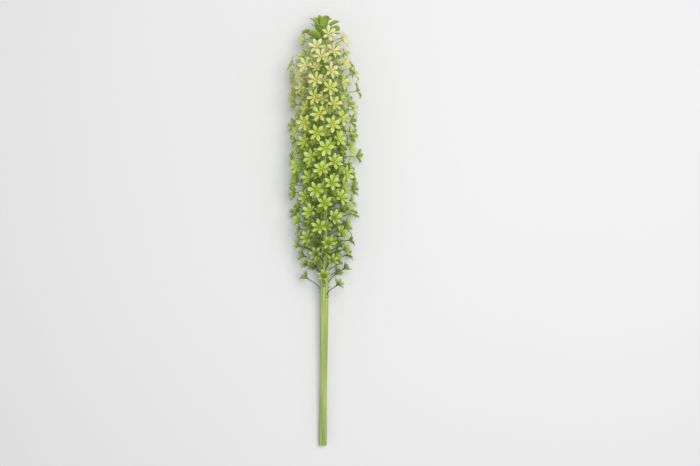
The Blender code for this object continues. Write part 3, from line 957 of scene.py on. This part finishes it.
def model_ovary():
    """An ovary of unit radius and unit height, standing on the origin."""
    bpy.ops.object.select_all(action="DESELECT")
    bpy.ops.mesh.primitive_uv_sphere_add(segments=OVARY_SIDES, ring_count=OVARY_ROWS, radius=1, location=(0, 0, 0))
    blank = bpy.context.object
    start_edit()

    def in_groove(co):
        turn = math.atan2(co.y, co.x) % (math.tau / 3)
        return abs(co.z) < 0.95 and min(turn, math.tau / 3 - turn) < 0.2

    pick(blank, in_groove)
    scale_rows((0.80, 0.80, 1.0), (0, 0, 0))
    pick(blank, lambda co: co.z > 0.80)
    bpy.ops.mesh.extrude_region_move(TRANSFORM_OT_translate={"value": (0, 0, STYLE_HEIGHT)})
    scale_rows((0.36, 0.36, 0.2), (0, 0, 1.0 + STYLE_HEIGHT))
    end_edit(blank)
    return blank


def lay_ovary(place):
    head, face, first, second = vectors(place["head"], place["face"], place["first"], place["second"])
    radius = between(OVARY_RADII, place["t"])
    height = between(OVARY_HEIGHTS, place["t"])

    def lay(points):
        body = first * points[:, 0:1] + second * points[:, 1:2]
        return head + body * radius + face * ((points[:, 2:3] + 0.55) * height * 0.5)

    return lay


# %% The ovaries' finish
def ovary_finish():
    finish = Finish("ovary_skin")
    cloud = finish.noise(finish.place(), 500.0)
    youth = finish.attribute("youth")
    skin = finish.ramp(
        youth + cloud * 0.06 - 0.03,
        (
            (0.0, tone(58, 88, 26)),
            (0.14, tone(86, 120, 34)),
            (0.32, tone(158, 182, 58)),
            (0.60, tone(204, 206, 84)),
            (0.78, tone(232, 212, 142)),
            (1.0, tone(238, 218, 168)),
        ),
    )
    finish.set(
        Base_Color=finish.mix(finish.attribute("tint") * 0.2, skin, tone(226, 214, 110)),
        Roughness=0.30 + cloud * 0.2,
        Coat_Weight=0.2,
        Normal=finish.bump(cloud, 0.00012),
    )
    return finish


ovary_blank = model_ovary()
ovary_skin = ovary_finish()
for name, group, slot in (("lower", open_lower, "green_florets"), ("upper", open_upper, "cream_florets")):
    placings = [(lay_ovary(place), traits_of(place)) for place in group]
    grow("ovaries_" + name, ovary_blank, placings, ovary_skin)
discard(ovary_blank)

# %% [markdown]
# ## The stamens
#
# In front of each tepal stands a stamen: a pale, tapering filament with a dark purple anther on its
# tip. In most florets the anthers have opened and show their cream pollen, and in every third one they
# are still shut and dark. In the oldest florets they have shed it and shrunk to brown specks.

# %% Model the filaments and anthers
FILAMENT_LENGTHS = ((0.0, 0.0075), (0.3, 0.0085), (1.0, 0.0098))
FILAMENT_RISE, FILAMENT_PLAY = math.radians(40), math.radians(13)
ANTHER_ROOM = 0.0013
FILAMENT_START = 0.0020
ANTHER_SIZES = ((0.0, 0.60), (0.55, 0.62), (0.72, 1.0), (1.0, 1.0))
ANTHER_HALF = (0.00062, 0.00052, 0.00115)


def stamen_stand(place, k):
    """(start, heading, length) of a stamen, whose anther stays inside the frame's box."""
    turn = place["spin"] + math.tau * k / TEPAL_COUNT + 0.16 * chance(place["number"], 50 + k)
    rise = FILAMENT_RISE + place["cup"] * 0.5 + FILAMENT_PLAY * chance(place["number"], 60 + k)
    head, face, first, second = vectors(place["head"], place["face"], place["first"], place["second"])
    flat = first * math.cos(turn) + second * math.sin(turn)
    heading = flat * math.cos(rise) + face * math.sin(rise)
    length = between(FILAMENT_LENGTHS, place["t"]) * (1 + 0.1 * chance(place["number"], 70 + k))
    start = head + flat * FILAMENT_START + face * 0.0005
    low, high = (np.array(corner) for corner in cad_box)
    to_tip = np.clip(start + heading * length, low + ANTHER_ROOM, high - ANTHER_ROOM) - start
    return start, to_tip / np.linalg.norm(to_tip), np.linalg.norm(to_tip)


def lay_filament(place, k):
    start, heading, length = stamen_stand(place, k)
    face = np.array(place["face"][:])
    across = np.cross(heading, face)
    across /= np.linalg.norm(across)
    other = np.cross(across, heading)

    def lay(points):
        share = points[:, 2:3]
        wide = 0.00064 * (1 - share) + 0.00027
        thick = 0.00026 * (1 - share) + 0.00023
        bend = face * 0.0012 * (share * (1 - share))
        return start + heading * length * share + bend + across * points[:, 0:1] * wide + other * points[:, 1:2] * thick

    return lay


def lay_anther(place, k):
    start, heading, length = stamen_stand(place, k)
    face = np.array(place["face"][:])
    across = np.cross(heading, face)
    across /= np.linalg.norm(across)
    tilt = 0.9 * chance(place["number"], 80 + k)
    up = heading * math.cos(tilt) + across * math.sin(tilt)
    side = across * math.cos(tilt) - heading * math.sin(tilt)
    other = np.cross(side, up)
    size = between(ANTHER_SIZES, place["t"])
    middle = start + heading * length

    def lay(points):
        return middle + (side * points[:, 0:1] + other * points[:, 1:2] + up * points[:, 2:3]) * size

    return lay


def model_anther():
    """Two pollen sacs side by side: a small sphere, drawn long, with a groove down it."""
    bpy.ops.object.select_all(action="DESELECT")
    bpy.ops.mesh.primitive_uv_sphere_add(segments=8, ring_count=4, radius=1, location=(0, 0, 0))
    blank = bpy.context.object
    start_edit()
    pick(blank, lambda co: abs(co.x) < 0.1 and abs(co.z) < 0.9)
    scale_rows((1.0, 0.6, 1.0), (0, 0, 0))
    bpy.ops.mesh.select_all(action="SELECT")
    scale_rows(ANTHER_HALF, (0, 0, 0))
    end_edit(blank)
    return blank


# %% The filaments' and anthers' finishes
def filament_finish():
    finish = Finish("filament_skin")
    cloud = finish.noise(finish.place(), 700.0)
    skin = finish.ramp(
        finish.attribute("youth") + cloud * 0.06 - 0.03,
        (
            (0.0, tone(120, 142, 46)),
            (0.3, tone(192, 206, 84)),
            (0.62, tone(218, 222, 110)),
            (0.8, tone(238, 230, 160)),
            (1.0, tone(242, 234, 180)),
        ),
    )
    finish.set(Base_Color=skin, Roughness=0.5, Normal=finish.bump(cloud, 0.00005))
    return finish


def anther_finish():
    finish = Finish("anther_skin")
    grains = finish.noise(finish.place(), 2600.0)
    youth = finish.attribute("youth") + grains * 0.08 - 0.04
    shut = finish.ramp(
        youth,
        ((0.0, tone(52, 44, 26)), (0.25, tone(112, 100, 44)), (0.55, tone(128, 104, 52)), (0.72, tone(54, 32, 44))),
    )
    open_sacs = finish.ramp(
        youth,
        ((0.0, tone(84, 78, 34)), (0.25, tone(156, 158, 62)), (0.55, tone(196, 190, 92)), (0.72, tone(228, 214, 150))),
    )
    skin = finish.mix(finish.step(finish.attribute("tint"), 0.70, 0.62), shut, open_sacs)
    skin = finish.mix(finish.step(grains, 0.55, 0.75) * 0.5, skin, tone(176, 146, 104))
    finish.set(Base_Color=skin, Roughness=0.75, Normal=finish.bump(grains, 0.0001))
    return finish


filament_blank = tube_blank("filament_blank", 4, 3)
anther_blank = model_anther()
filament_skin, anther_skin = filament_finish(), anther_finish()
for name, group, slot in (("lower", open_lower, "green_florets"), ("upper", open_upper, "cream_florets")):
    stands = [(place, k) for place in group for k in range(TEPAL_COUNT)]
    placings = [(lay_filament(place, k), traits_of(place)) for place, k in stands]
    grow("filaments_" + name, filament_blank, placings, filament_skin)
    placings = [(lay_anther(place, k), traits_of(place)) for place, k in stands]
    grow("anthers_" + name, anther_blank, placings, anther_skin)
discard(filament_blank, anther_blank)

# %% [markdown]
# ## The buds
#
# The youngest florets, just under the crown, are still shut: six tepals folded to a pointed egg. A
# sphere gets a pointed tip, and six of its meridians are pressed in where the tepals meet.

# %% Model the buds
def model_bud():
    """A bud of unit radius and unit length, standing on the origin."""
    bpy.ops.object.select_all(action="DESELECT")
    bpy.ops.mesh.primitive_uv_sphere_add(segments=24, ring_count=12, radius=1, location=(0, 0, 0))
    blank = bpy.context.object
    start_edit()
    pick(blank, lambda co: abs(co.z) < 0.99 and round(math.atan2(co.y, co.x) / (math.tau / 24)) % 4 == 0)
    scale_rows((0.88, 0.88, 1.0), (0, 0, 0))
    pick(blank, lambda co: co.z > 0.9)
    scale_rows((0.55, 0.55, 1.0), (0, 0, 1))
    pick(blank, lambda co: co.z > 0.999)
    move_rows((0, 0, 0.18))
    end_edit(blank)
    return blank


def lay_bud(place):
    head, face, first, second = vectors(place["head"], place["face"], place["first"], place["second"])

    def lay(points):
        height = (points[:, 2:3] + 1.0) / 2.18
        swell = 1.0 - 0.32 * (height - BUD_WIDEST_AT).clip(0, 1)
        body = (first * points[:, 0:1] + second * points[:, 1:2]) * BUD_RADIUS * swell
        return head + body + face * (height * (BUD_LENGTH + 0.0012) - 0.0012)

    return lay


# %% The buds' finish
def bud_finish():
    finish = Finish("bud_skin")
    cloud = finish.noise(finish.stretched((1.0, 1.0, 1.0)), 320.0)
    uv = finish.node("ShaderNodeUVMap", {"uv_map": "UVMap"}, {})
    seam = (finish.part(uv, "X") * math.pi * TEPAL_COUNT).wave().size()
    skin = finish.mix(finish.step(cloud, 0.35, 0.7), tone(202, 214, 122), tone(172, 196, 88))
    skin = finish.mix(finish.step(seam, 0.34, 0.04) * 0.7, skin, tone(124, 152, 46))
    skin = finish.mix(finish.step(finish.part(uv, "Y"), 0.88, 0.97) * 0.8, skin, tone(110, 128, 40))
    finish.set(Base_Color=skin, Roughness=0.42 + cloud * 0.1, Normal=finish.bump(cloud, 0.00012))
    finish.let_light_through(0.12, tone(200, 220, 110))
    return finish


bud_blank = model_bud()
placings = [(lay_bud(place), traits_of(place)) for place in closed_buds]
grow("buds", bud_blank, placings, bud_finish())
discard(bud_blank)

# %% [markdown]
# ## The small bracts
#
# Under the foot of every pedicel stands a small, thin, pointed bract. Most hide among the florets. The
# lowest show against the bare stalk, dry and curled at the tip.

# %% Model the small bracts
BRACT_BLANK_LENGTH = 0.0122
BRACT_WIDTH = 0.0054
BRACT_BELOW = 0.004
BRACT_RISE = math.radians(41)
BRACT_PLACES = (0.0, 0.22, 0.46, 0.68, 0.87, 1.0)
BRACT_SHARES = (0.74, 1.0, 0.84, 0.50, 0.19, 0.02)
BRACT_CHANNEL, BRACT_THICKNESS = 0.0017, 0.0003


def lay_bract(place):
    _, tangent, _ = axis_frame(place["along"])
    out = outward(place["along"], place["azimuth"])
    depth = stem_radius(place["along"], place["azimuth"]) - 0.0012
    foot = axis_point(place["along"] - BRACT_BELOW) + out * depth
    rise = BRACT_RISE + 0.25 * chance(place["number"], 90)
    curl = 0.48 + 0.26 * chance(place["number"], 91)
    size = 1 + 0.18 * chance(place["number"], 92)
    foot, out, tangent = vectors(foot, out, tangent)
    heading = out * math.cos(rise) + tangent * math.sin(rise)
    face = tangent * math.cos(rise) - out * math.sin(rise)
    across = np.cross(heading, face)

    def lay(points):
        share = points[:, 1:2] / BRACT_BLANK_LENGTH
        turn = curl * share
        forward = heading * np.sin(turn) / curl - face * (1 - np.cos(turn)) / curl
        lift = face * np.cos(turn) + heading * np.sin(turn)
        laid = forward * BRACT_BLANK_LENGTH + across * points[:, 0:1] + lift * points[:, 2:3]
        return bend_inside(foot + laid * size, share)

    return lay


# %% The small bracts' finish
def bract_finish():
    finish = Finish("bract_skin")
    uv = finish.node("ShaderNodeUVMap", {"uv_map": "UVMap"}, {})
    along = finish.part(uv, "Y")
    across = (finish.part(uv, "X") - 0.5).size() * 2
    cloud = finish.noise(finish.place(), 400.0)
    green = finish.ramp(
        finish.attribute("youth"),
        ((0.0, tone(164, 180, 92)), (0.3, tone(160, 184, 84)), (1.0, tone(182, 202, 112))),
    )
    lines = (across * 16.0).wave() * 0.5 + 0.5
    green = finish.mix(lines * 0.25, green, tone(120, 146, 50))
    green = finish.mix(finish.step(across, 0.72, 0.95) * 0.7, green, tone(216, 224, 164))
    dry = finish.step(along + cloud * 0.3, 1.0, 1.25) * (1.0 - finish.attribute("youth"))
    finish.set(
        Base_Color=finish.mix(dry, green, tone(176, 150, 92)),
        Roughness=0.6,
        Normal=finish.bump(cloud, 0.0001),
    )
    finish.let_light_through(0.3, tone(200, 214, 110))
    return finish


outline = list(zip(BRACT_PLACES, BRACT_SHARES))
bract_blank = blade_blank(
    "bract_blank",
    4,
    len(BRACT_PLACES) - 1,
    (BRACT_BLANK_LENGTH, BRACT_WIDTH),
    outline,
    (0.0,) * len(BRACT_PLACES),
    BRACT_CHANNEL,
    BRACT_THICKNESS,
)
bract_skin = bract_finish()
for name, group, slot in (("lower", lower, "green_florets"), ("upper", upper, "cream_florets")):
    placings = [(lay_bract(place), traits_of(place)) for place in group]
    grow("bracts_" + name, bract_blank, placings, bract_skin)
discard(bract_blank)

# %% [markdown]
# ## The crown
#
# The leafy crown is what gives the plant its name. Its leaves stand in a spiral, the outer ones spread
# and curled back and the inner ones upright. Each is broad above the middle and pointed, channelled
# along its midrib, with a gently waved edge. One leaf is modelled and copied along the spiral.

# %% Model the crown leaves
LEAF_COUNT = 16
LEAF_LEANS = ((0.0, 58), (0.35, 46), (0.7, 25), (1.0, 6))
LEAF_LENGTHS = ((0.0, 0.044), (0.5, 0.049), (1.0, 0.040))
LEAF_WIDTHS = ((0.0, 0.0215), (0.5, 0.0225), (1.0, 0.0130))
LEAF_SIZE_PLAY = 0.10
LEAF_AZIMUTH_PLAY, LEAF_LEAN_PLAY = math.radians(8), math.radians(6)
LEAF_CURLS = (math.radians(17), math.radians(39))
LEAF_ROOT = 0.0009
CROWN_AZIMUTH = math.radians(218)
CROWN_FIRST, CROWN_LAST = 0.12, 0.90
TRAITS_OF_LEAVES = 500
LEAF_HOOKS = (math.radians(20), math.radians(78))
LEAF_HOOK_POWER = 5
LEAF_WAVE = 0.0011
LEAF_BLANK_LENGTH, LEAF_BLANK_WIDTH = 0.046, 0.022
LEAF_PLACES = (0.0, 0.08, 0.17, 0.26, 0.35, 0.44, 0.53, 0.62, 0.71, 0.79, 0.86, 0.92, 0.97, 1.0)
LEAF_SHARES = (0.38, 0.45, 0.55, 0.67, 0.80, 0.91, 0.98, 1.0, 0.95, 0.83, 0.65, 0.44, 0.22, 0.02)


def lay_leaf(number):
    t = number / (LEAF_COUNT - 1)
    traits = TRAITS_OF_LEAVES + number
    along = STEM_LENGTH + CROWN_HEIGHT * (CROWN_FIRST + (CROWN_LAST - CROWN_FIRST) * t)
    azimuth = CROWN_AZIMUTH + number * GOLDEN_ANGLE + LEAF_AZIMUTH_PLAY * chance(traits, 1)
    lean = math.radians(between(LEAF_LEANS, t)) + LEAF_LEAN_PLAY * chance(traits, 2)
    length = between(LEAF_LENGTHS, t) * (1 + LEAF_SIZE_PLAY * chance(traits, 3))
    widening = between(LEAF_WIDTHS, t) * (1 + LEAF_SIZE_PLAY * chance(traits, 4)) / LEAF_BLANK_WIDTH
    curl = between(((-1.0, LEAF_CURLS[0]), (1.0, LEAF_CURLS[1])), chance(traits, 5))
    phase = math.pi * chance(traits, 6)
    twist = 0.7 * chance(traits, 7)
    hook = between(((-1.0, LEAF_HOOKS[0]), (1.0, LEAF_HOOKS[1])), chance(traits, 9))
    stations = np.linspace(0.0, 1.0, 41)
    turns = curl * stations + hook * stations**LEAF_HOOK_POWER
    step = stations[1] - stations[0]
    ahead = np.concatenate(([0.0], np.cumsum(np.cos(turns)[:-1]))) * step
    back = np.concatenate(([0.0], np.cumsum(np.sin(turns)[:-1]))) * step
    _, tangent, _ = axis_frame(along)
    out = outward(along, azimuth)
    root, out, tangent = vectors(axis_point(along) + out * LEAF_ROOT, out, tangent)
    direction = tangent * math.cos(lean) + out * math.sin(lean)
    face = tangent * math.sin(lean) - out * math.cos(lean)
    across = np.cross(direction, face)

    def lay(points):
        share = points[:, 1:2] / LEAF_BLANK_LENGTH
        sideways = points[:, 0:1] * widening
        edge = np.clip(np.abs(points[:, 0:1]) / (LEAF_BLANK_WIDTH / 2), 0, 1)
        ripple = np.sin(share * math.tau * 2.1 + phase + np.sign(points[:, 0:1]) * 1.4)
        turn = np.interp(share, stations, turns)
        forward = direction * np.interp(share, stations, ahead) - face * np.interp(share, stations, back)
        lift = face * np.cos(turn) + direction * np.sin(turn)
        height = points[:, 2:3] + ripple * LEAF_WAVE * edge**2 * share + sideways * twist * share
        return bend_inside(root + forward * length + across * sideways + lift * height, share)

    return lay


# %% [markdown]
# ### The crown leaves' finish
#
# The leaves are the most saturated green of the plant, satin on top, with fine parallel veins as in
# all lilies. The midrib is a paler channel and the edge a thin pale rim. Towards their feet the leaves
# grow paler and yellower.

# %% The crown leaves' finish
def leaf_finish():
    finish = Finish("crown_leaf")
    uv = finish.node("ShaderNodeUVMap", {"uv_map": "UVMap"}, {})
    across = (finish.part(uv, "X") - 0.5).size() * 2
    along = finish.part(uv, "Y")
    cloud = finish.noise(finish.place(), 120.0)
    fine = finish.noise(finish.place(), 900.0)
    veins = (across * 60.0 + cloud * 1.5).wave() * 0.5 + 0.5
    green = finish.ramp(
        cloud * 0.7 + finish.attribute("tint") * 0.3,
        ((0.0, tone(136, 164, 38)), (0.45, tone(160, 186, 56)), (1.0, tone(184, 204, 84))),
    )
    green = finish.mix(finish.step(along, 0.55, 1.0) * 0.5, green, tone(188, 208, 84))
    green = finish.mix(finish.attribute("under") * 0.4, green, tone(176, 196, 104))
    green = finish.mix(veins * 0.18, green, tone(104, 138, 26))
    green = finish.mix(finish.step(along, 0.35, 0.0) * 0.75, green, tone(182, 202, 96))
    green = finish.mix(finish.step(across, 0.10, 0.02) * (1.0 - along * 0.5) * 0.7, green, tone(184, 206, 96))
    green = finish.mix(finish.step(across, 0.90, 0.99) * 0.8, green, tone(206, 222, 140))
    finish.set(
        Base_Color=green,
        Roughness=0.38 + fine * 0.16,
        Coat_Weight=0.08,
        Coat_Roughness=0.3,
        Normal=finish.bump(veins * 0.6 + fine * 0.4, 0.00012),
    )
    finish.let_light_through(0.2, tone(150, 196, 50))
    return finish


outline = list(zip(LEAF_PLACES, LEAF_SHARES))
leaf_blank = blade_blank(
    "leaf_blank",
    8,
    len(LEAF_PLACES) - 1,
    (LEAF_BLANK_LENGTH, LEAF_BLANK_WIDTH),
    outline,
    (0.0,) * len(LEAF_PLACES),
    0.0022,
    0.0006,
)
placings = [
    (lay_leaf(number), {"tint": 0.5 + 0.5 * chance(TRAITS_OF_LEAVES + number, 8)}) for number in range(LEAF_COUNT)
]
crown_leaves = grow("crown_leaves", leaf_blank, placings, leaf_finish())
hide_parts("crown")
discard(leaf_blank)

# %% [markdown]
# ## The floor, the light and the camera
#
# The stem lies on a plain pale floor in soft studio light. One wide lamp above gives it its form, and
# the pale surroundings fill the shade. The camera looks straight down, as the photo looks straight at
# the upright stem, and takes in the stem from its crown to its cut end.

# %% The floor
FLOOR_SIZE = 8.0


def floor_finish():
    finish = Finish("pale_floor")
    cloud = finish.noise(finish.place(), 3.0)
    grain = finish.noise(finish.place(), 300.0)
    finish.set(
        Base_Color=finish.mix(cloud * 0.3, tone(213, 213, 213), tone(207, 207, 208)),
        Roughness=0.85,
        Normal=finish.bump(grain, 0.0001),
    )
    return finish


bpy.ops.object.select_all(action="DESELECT")
bpy.ops.mesh.primitive_plane_add(size=FLOOR_SIZE, location=(0, 0, 0))
floor = bpy.context.object
floor.name = "floor"
floor.data.materials.append(floor_finish().material)

# %% The light
LAMP_SIZE, LAMP_POWER = 1.8, 53.0
LAMP_PLACE = Vector((0.62, 0.40, 2.55))
SURROUND_STRENGTH = 0.69

surround = bpy.data.worlds.new("surround")
surround.use_nodes = True
surround.node_tree.nodes["Background"].inputs["Color"].default_value = tone(247, 247, 248)
surround.node_tree.nodes["Background"].inputs["Strength"].default_value = SURROUND_STRENGTH
bpy.context.scene.world = surround
lamp = bpy.data.objects.new("lamp", bpy.data.lights.new("lamp", "AREA"))
lamp.data.shape = "DISK"
lamp.data.size = LAMP_SIZE
lamp.data.energy = LAMP_POWER
lamp.location = LAMP_PLACE
lamp.rotation_euler = (Vector((0, 0, 0)) - LAMP_PLACE).to_track_quat("-Z", "Y").to_euler()
bpy.context.scene.collection.objects.link(lamp)
bpy.context.scene.view_settings.view_transform = "Standard"

# %% The camera
FRAME_SIZE = (700, 466)
METRES_PER_PIXEL = 0.00206
STEM_PIXEL_X = 325
CAMERA_HEIGHT = 2.2
SUBJECT_HEIGHT = 0.06

camera = bpy.data.objects.new("camera", bpy.data.cameras.new("camera"))
frame_width = FRAME_SIZE[0] * METRES_PER_PIXEL
camera.data.lens = camera.data.sensor_width * (CAMERA_HEIGHT - SUBJECT_HEIGHT) / frame_width
camera.location = ((FRAME_SIZE[0] / 2 - STEM_PIXEL_X) * METRES_PER_PIXEL, 0.0, CAMERA_HEIGHT)
bpy.context.scene.collection.objects.link(camera)
bpy.context.scene.camera = camera
print("lens in mm:", round(camera.data.lens, 1))
